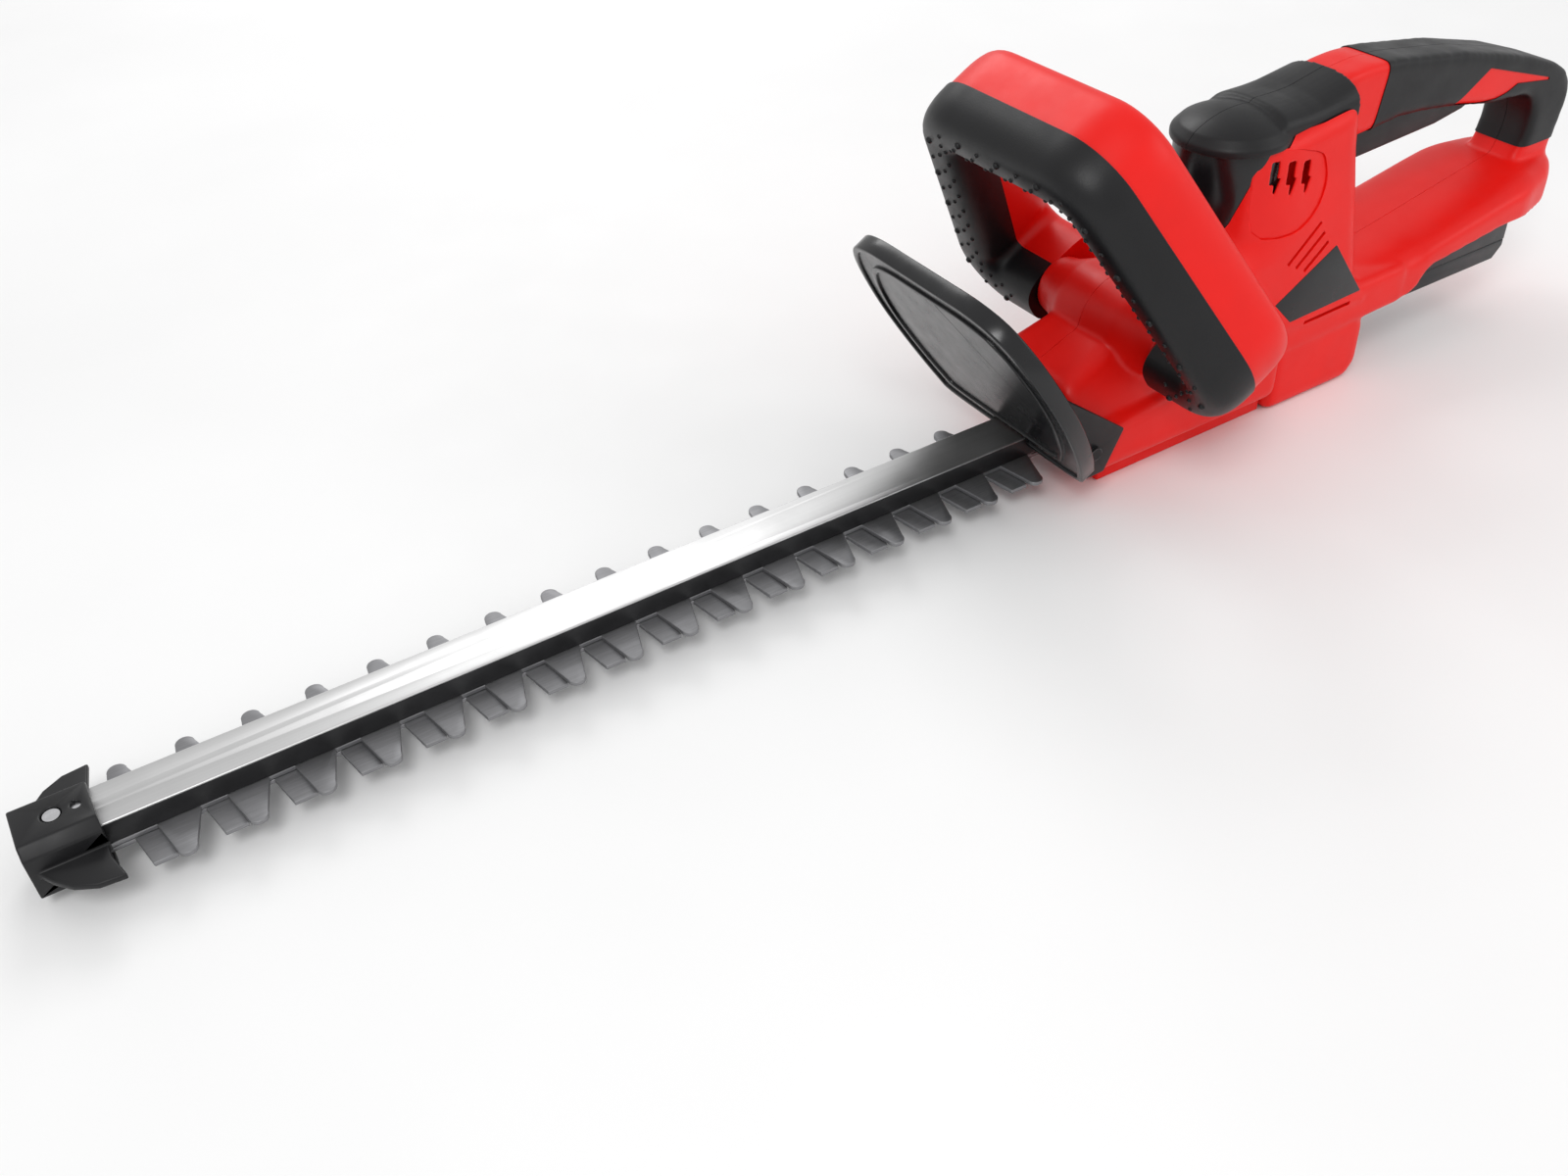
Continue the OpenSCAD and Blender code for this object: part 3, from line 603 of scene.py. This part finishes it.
SLEEVE = [(371.4, 118), (380.4, 175), (600, 175), (600, 77), (508, 77), (508, 104),
          (494, 110), (440, 118), (400, 123)]
PATCH = [(440, 122), (465, 137.5), (523, 118.5), (523, 117), (494, 121.7), (486, 118.4),
         (477, 116.6), (460, 117)]


def sleeves():
    """The soft skin over the rear grip, with the red body showing through a side patch."""
    skin = grip_form(0.5)
    cut(skin, grip_form(-0.6))
    cut(skin, slab(SLEEVE, -40, 40), "INTERSECT")
    for y0, y1 in ((-40, -11), (11, 40)):
        cut(skin, slab(PATCH, y0, y1))
    cut(skin, slab([(363, 90), (474, 90), (474, 124), (363, 128)], -9.2, 9.2))
    right = cut(twin(skin, "skin_half"), block(300, 600, SEAM, 60, 0, 200), "INTERSECT")
    left = cut(skin, block(300, 600, -60, -SEAM, 0, 200), "INTERSECT")
    soft = MATERIALS["soft_grip"]
    settle(left, "grip_skin_left", "root", "soft_grip", soft, "grip_pad_left", "post_pad_left")
    settle(right, "grip_skin_right", "root", "soft_grip", soft, "grip_pad_right",
           "post_pad_right")


# ------------------------------------------------------------------ front handle

def handle_path(steps=200):
    """Points and outward directions, evenly spaced round the handle's centre line."""
    corners = [(HANDLE_LOW_HALF - HANDLE_CORNER, HANDLE_CORNER),
               (HANDLE_TOP_HALF - HANDLE_CORNER, HANDLE_SIDE - HANDLE_CORNER),
               (-HANDLE_TOP_HALF + HANDLE_CORNER, HANDLE_SIDE - HANDLE_CORNER),
               (-HANDLE_LOW_HALF + HANDLE_CORNER, HANDLE_CORNER)]
    rough = []
    for i, corner in enumerate(corners):
        before = Vector(corners[i - 1])
        here = Vector(corner)
        after = Vector(corners[(i + 1) % 4])
        first = here - before
        second = after - here
        n0 = Vector((first.y, -first.x)).normalized()
        n1 = Vector((second.y, -second.x)).normalized()
        for k in range(CORNER_STEPS + 1):
            n = n0.slerp(n1, k / CORNER_STEPS, n0)
            rough.append((here + n * HANDLE_CORNER, n))
    lengths = [0.0]
    for i in range(len(rough)):
        nxt = rough[(i + 1) % len(rough)][0]
        lengths.append(lengths[-1] + (nxt - rough[i][0]).length)
    points = []
    k = 0
    for i in range(steps):
        want = lengths[-1] * i / steps
        while lengths[k + 1] < want:
            k += 1
        t = (want - lengths[k]) / max(lengths[k + 1] - lengths[k], 1e-6)
        pa, na = rough[k % len(rough)]
        pb, nb = rough[(k + 1) % len(rough)]
        points.append((pa.lerp(pb, t), na.lerp(nb, t).normalized()))
    return points


FRONT_DEPTH = 28.0
BACK_DEPTH = 26.0
SPLIT = -4.0
FRONT_R = 15.5
REAR_R = 14.6
FRONT_ROUND = 0.72
REAR_ROUND = 0.5
SHELL_GAP = 0.15
SHELL_LIP = 0.8
CORNER_STEPS = 24
NUB_PLACES = 74
NUB_SIDES = 10
NUB_SIZE = 1.2
BIG_NUB_SIZE = 1.9


def handle_section(front):
    """The (outward, rearward) points of one shell's section."""
    points = []
    if front:
        for k in range(ARC_STEPS + 1):
            a = pi * k / ARC_STEPS
            reach = FRONT_DEPTH + SPLIT - SHELL_GAP
            rear = SPLIT - SHELL_GAP - reach * power(sin(a), FRONT_ROUND)
            points.append((FRONT_R * power(cos(a), FRONT_ROUND), rear))
        points.insert(1, (FRONT_R, SPLIT - SHELL_LIP))
        points.insert(-1, (-FRONT_R, SPLIT - SHELL_LIP))
    else:
        for k in range(ARC_STEPS + 1):
            a = pi * k / ARC_STEPS
            reach = BACK_DEPTH - SPLIT - SHELL_GAP
            rear = SPLIT + SHELL_GAP + reach * power(sin(a), REAR_ROUND)
            points.append((REAR_R * power(cos(a), REAR_ROUND), rear))
        points.insert(1, (REAR_R, SPLIT + SHELL_LIP))
        points.insert(-1, (-REAR_R, SPLIT + SHELL_LIP))
    return points


def handle_ring(front):
    """One shell, swept from the left collar over the top to the right collar."""
    section = handle_section(front)
    start = BODY_HALF + SHELL_GAP
    low = Vector((0, -1))
    path = [(p, n) for p, n in handle_path() if p.y > 0.01 or abs(p.x) > start + 1]
    turn = max(range(len(path)), key=lambda i: (path[i][0] - path[i - 1][0]).length)
    path = path[turn:] + path[:turn]
    ends = [Vector((start if p.x > 0 else -start, 0.0)) for p in (path[0][0], path[-1][0])]
    path = [(ends[0], low)] + path + [(ends[1], low)]
    rings = []
    for centre, out in path:
        ring = []
        for s, w in section:
            place = centre + out * s
            ring.append(in_plane(HUB, place.x, place.y, w))
        rings.append(ring)
    return loft(rings)


def nub(centre, normal, radius):
    """A low round stud on the grip."""
    turn = normal.to_track_quat("Z", "Y").to_matrix()
    rings = []
    for r, h in ((1.0, -0.4), (1.0, 0.1), (0.8, 0.5), (0.42, 0.72)):
        ring = []
        for i in range(NUB_SIDES):
            a = 2 * pi * i / NUB_SIDES
            ring.append(centre + turn @ Vector((r * cos(a), r * sin(a), h)) * radius)
        rings.append(ring)
    return rings


def nubs():
    """Rows of studs along the inner front edge of the handle."""
    bm = bmesh.new()
    path = handle_path(NUB_PLACES)
    for i, (centre, out) in enumerate(path):
        if centre.y < 8 and abs(centre.x) < 60:
            continue
        for row, angle in enumerate((0.47, 0.545, 0.62)):
            if (i + row) % 2:
                continue
            a = pi * angle
            s = FRONT_R * power(cos(a), FRONT_ROUND)
            w = SPLIT - (FRONT_DEPTH + SPLIT) * power(sin(a), FRONT_ROUND)
            place = centre + out * s
            spot = in_plane(HUB, place.x, place.y, w)
            lift = in_plane(Vector(), out.x * cos(a), out.y * cos(a), -sin(a))
            size = BIG_NUB_SIZE if (i % 4 == 0 and row == 0) else NUB_SIZE
            close_rings(bm, [[bm.verts.new(p) for p in ring]
                             for ring in nub(spot, lift.normalized(), size)])
    return from_bmesh("nubs", bm)


def handle_shells():
    front = join("front", handle_ring(True), nubs())
    rear = handle_ring(False)
    settle(front, "handle_grip", "root", "soft_grip", MATERIALS["soft_grip"],
           "handle_front_shell")
    settle(rear, "handle_back", "root", "red_plastic", MATERIALS["red_plastic"],
           "handle_rear_shell")


# ------------------------------------------------------------------ hand guard

GUARD_H = 131.0
GUARD = [(-20, 0), (-54, 1), (-62, 9), (-71, 33), (-76, 60), (-75, 84), (-69, 108),
         (-58, 124), (-40, 130.5), (-14, GUARD_H)]


def guard_outline(inset):
    """The guard's outline drawn in by a little, all round."""
    half = [(u + inset, v) for u, v in GUARD]
    full = half + [(-u, v) for u, v in reversed(half)]
    low, high = inset, GUARD_H - inset
    return [(u, low + (high - low) * v / GUARD_H) for u, v in curve(full, 5)]


def guard_plate(inset, w0, w1):
    rings = []
    for w in (w0, w1):
        rings.append([in_plane(GUARD_FOOT, u, v, w) for u, v in guard_outline(inset)])
    return loft(rings)


def guard():
    """A leaning plate with a thick rim, a rib inside it and a notch over the bar."""
    plate = guard_plate(1.5, 0.4, GUARD_T - 0.2)
    rim = guard_plate(0, -0.9, GUARD_T + 5.0)
    cut(rim, guard_plate(3.0, -6, 14))
    bevel(rim, 0.9, 3, 60)
    rib = guard_plate(11, -0.9, GUARD_T)
    cut(rib, guard_plate(13.6, -6, 12))
    bevel(rib, 0.5, 2, 60)
    whole = fuse("guard", plate, rim, rib)
    cut(whole, block(100, 172, -13.5, 13.5, -20, 13.2))
    settle(whole, "guard_shield", "root", "gloss_black", MATERIALS["gloss_black"], "hand_guard")


# ------------------------------------------------------------------ cap, barrel, panels

CAP_R = 32.0
CAP_LOW = 140.3
DOME_STEPS = 12
HUMP_END = 346.5
HUMP_HALF = 27.6
HUMP_BASE = 145.5
HUMP_STEPS = 33
HUMP_ARC_STEPS = 20
HUMP_TOP = [(MOTOR_X, 147), (MOTOR_X + 12, 157), (312, 156.6), (322, 157.2), (HUMP_END, 162)]


def cap_form():
    """A shallow dome in front, and a raised saddle that runs back to the grip."""
    dome = [(CAP_R - 4, CAP_LOW), (CAP_R, CAP_LOW), (CAP_R, 143.4), (CAP_R - 0.6, 144.6)]
    for i in range(1, DOME_STEPS):
        r = (CAP_R - 2) * (1 - i / DOME_STEPS)
        dome.append((r, 145 + 11 * (1 - (r / CAP_R) ** 2) ** 0.8))
    head = lathe(dome, Vector((MOTOR_X, 0, 0)), "Z", 96)
    rings = []
    for i in range(HUMP_STEPS + 1):
        x = MOTOR_X + (HUMP_END - MOTOR_X) * i / HUMP_STEPS
        top = level(x, HUMP_TOP)
        ring = [Vector((x, HUMP_HALF, 143)), Vector((x, -HUMP_HALF, 143))]
        for k in range(HUMP_ARC_STEPS + 1):
            a = pi * k / HUMP_ARC_STEPS
            rise = HUMP_BASE + (top - HUMP_BASE) * power(sin(a), 0.75)
            ring.append(Vector((x, -HUMP_HALF * power(cos(a), 0.8), rise)))
        rings.append(ring)
    whole = join("cap", head, loft(rings))
    soften(whole, 0.7, 3)
    return cut(whole, post(MOTOR_X, 0, CAP_R - 5, 130, 144))


def cap():
    whole = cap_form()
    right = cut(twin(whole, "half"), block(200, 400, SEAM, 60, 100, 200), "INTERSECT")
    left = cut(whole, block(200, 400, -60, -SEAM, 100, 200), "INTERSECT")
    soft = MATERIALS["soft_grip"]
    settle(left, "cap_left", "root", "soft_grip", soft, "motor_cap_left")
    settle(right, "cap_right", "root", "soft_grip", soft, "motor_cap_right")


def edged(node, name, body, slot, width, segments=2, angle=40):
    """A CAD node with its sharp edges broken."""
    piece = from_cad(node, name)
    bevel(piece, width, segments, angle)
    return settle(piece, name, body, slot, MATERIALS[slot], node)


def vent_panels():
    """Flush side grilles, each with a row of three kinked slots."""
    for side, word in ((-1, "left"), (1, "right")):
        plate = slab(curve(VENT, 3), 39.8, 41.2)
        for k in range(3):
            x, z = 282 + 10.5 * k, 117 - 2 * k
            cut(plate, slab([(x + 1, z + 18), (x + 6, z + 18), (x + 5.2, z + 9),
                             (x + 7.2, z + 9), (x + 2.4, z - 3), (x + 2.8, z + 6),
                             (x, z + 6)], 30, 50))
        hug(cells(plate, 0.6))
        if side < 0:
            to_left(plate)
        name = "grille_" + word
        settle(plate, name, "root", "red_plastic", MATERIALS["red_plastic"],
               "vent_panel_" + word)


def label_plates():
    for side, word in ((-1, "left"), (1, "right")):
        plate = hug(bevel(slab(LABEL, 41.0, 42.3), 0.5, 2))
        if side < 0:
            to_left(plate)
        settle(plate, "nameplate_" + word, "root", "label_black", MATERIALS["label_black"],
               "label_" + word)


# ------------------------------------------------------------------ stage

CAMERA_PLACE = Vector((-302.66, -527.91, 464.76))
CAMERA_TURN = (radians(50.74), radians(2.9), radians(-31.92))
CAMERA_LENS = 34.43
WORLD_STRENGTH = 0.72


def stage_floor():
    bm = bmesh.new()
    bmesh.ops.create_grid(bm, x_segments=1, y_segments=1, size=6)
    floor = from_bmesh("floor", bm)
    n = Nodes("floor")
    tone = n.blend(n.span(n.noise(3), 0, 1), (0.86, 0.86, 0.86), (0.90, 0.90, 0.90))
    floor.data.materials.append(n.finish(tone, n.span(n.noise(20), 0.6, 0.8),
                                         n.bump(n.noise(400), 0.00002)))


def area_light(name, place, aim, size, power_w):
    lamp = bpy.data.lights.new(name, "AREA")
    lamp.size = size
    lamp.energy = power_w
    obj = add(name, lamp)
    obj.location = place
    obj.rotation_euler = (Vector(aim) - Vector(place)).to_track_quat("-Z", "Y").to_euler()


def studio():
    world = bpy.data.worlds.new("studio")
    world.use_nodes = True
    world.node_tree.nodes["Background"].inputs["Color"].default_value = (1, 1, 1, 1)
    world.node_tree.nodes["Background"].inputs["Strength"].default_value = WORLD_STRENGTH
    bpy.context.scene.world = world
    area_light("key", (-0.9, -1.0, 1.7), (0.1, 0, 0.1), 0.7, 13)
    area_light("fill", (1.3, -1.2, 1.0), (0.2, 0, 0.1), 1.0, 5)
    area_light("rim", (0.4, 1.5, 1.3), (0.1, 0, 0.1), 0.8, 9)
    bpy.context.scene.view_settings.view_transform = "Standard"


def camera():
    """The photograph's view: from the tip's left hand side, looking down along the tool."""
    lens = bpy.data.cameras.new("camera")
    lens.sensor_width = 36
    lens.lens = CAMERA_LENS
    obj = add("camera", lens)
    obj.location = STATION + CAMERA_PLACE * MM
    obj.rotation_euler = CAMERA_TURN
    bpy.context.scene.camera = obj


# ------------------------------------------------------------------ build

carried_over()
housing()
sleeves()
handle_shells()
guard()
cap()
vent_panels()
label_plates()
edged("barrel_cover", "barrel", "root", "gloss_black", 0.6)
edged("tip_guard", "tip_cover", "root", "black_plastic", 0.9, 3)
edged("bar_cover", "bar_top", "root", "silver_cover", 0.7, 3)
edged("guide_bar", "bar_channel", "root", "dark_steel", 0.3)
edged("upper_blade", "blade_top", "upper_blade", "blade_steel", 0.35)
edged("lower_blade", "blade_low", "lower_blade", "blade_steel", 0.35)
edged("guard_bracket_left", "gusset_left", "root", "black_plastic", 0.8, 3)
edged("guard_bracket_right", "gusset_right", "root", "black_plastic", 0.8, 3)
edged("base_cover", "base_plate", "root", "red_plastic", 1.2, 3)
edged("pack_lower", "pack_shell_low", "battery_pack", "pack_plastic", 0.9, 3)
edged("pack_upper", "pack_shell_top", "battery_pack", "pack_plastic", 0.5)
edged("pack_latch", "pack_button", "pack_latch", "grey_plastic", 0.8, 3)
edged("trigger", "trigger_lever", "trigger", "black_plastic", 1.6, 4, 55)
stage_floor()
studio()
camera()
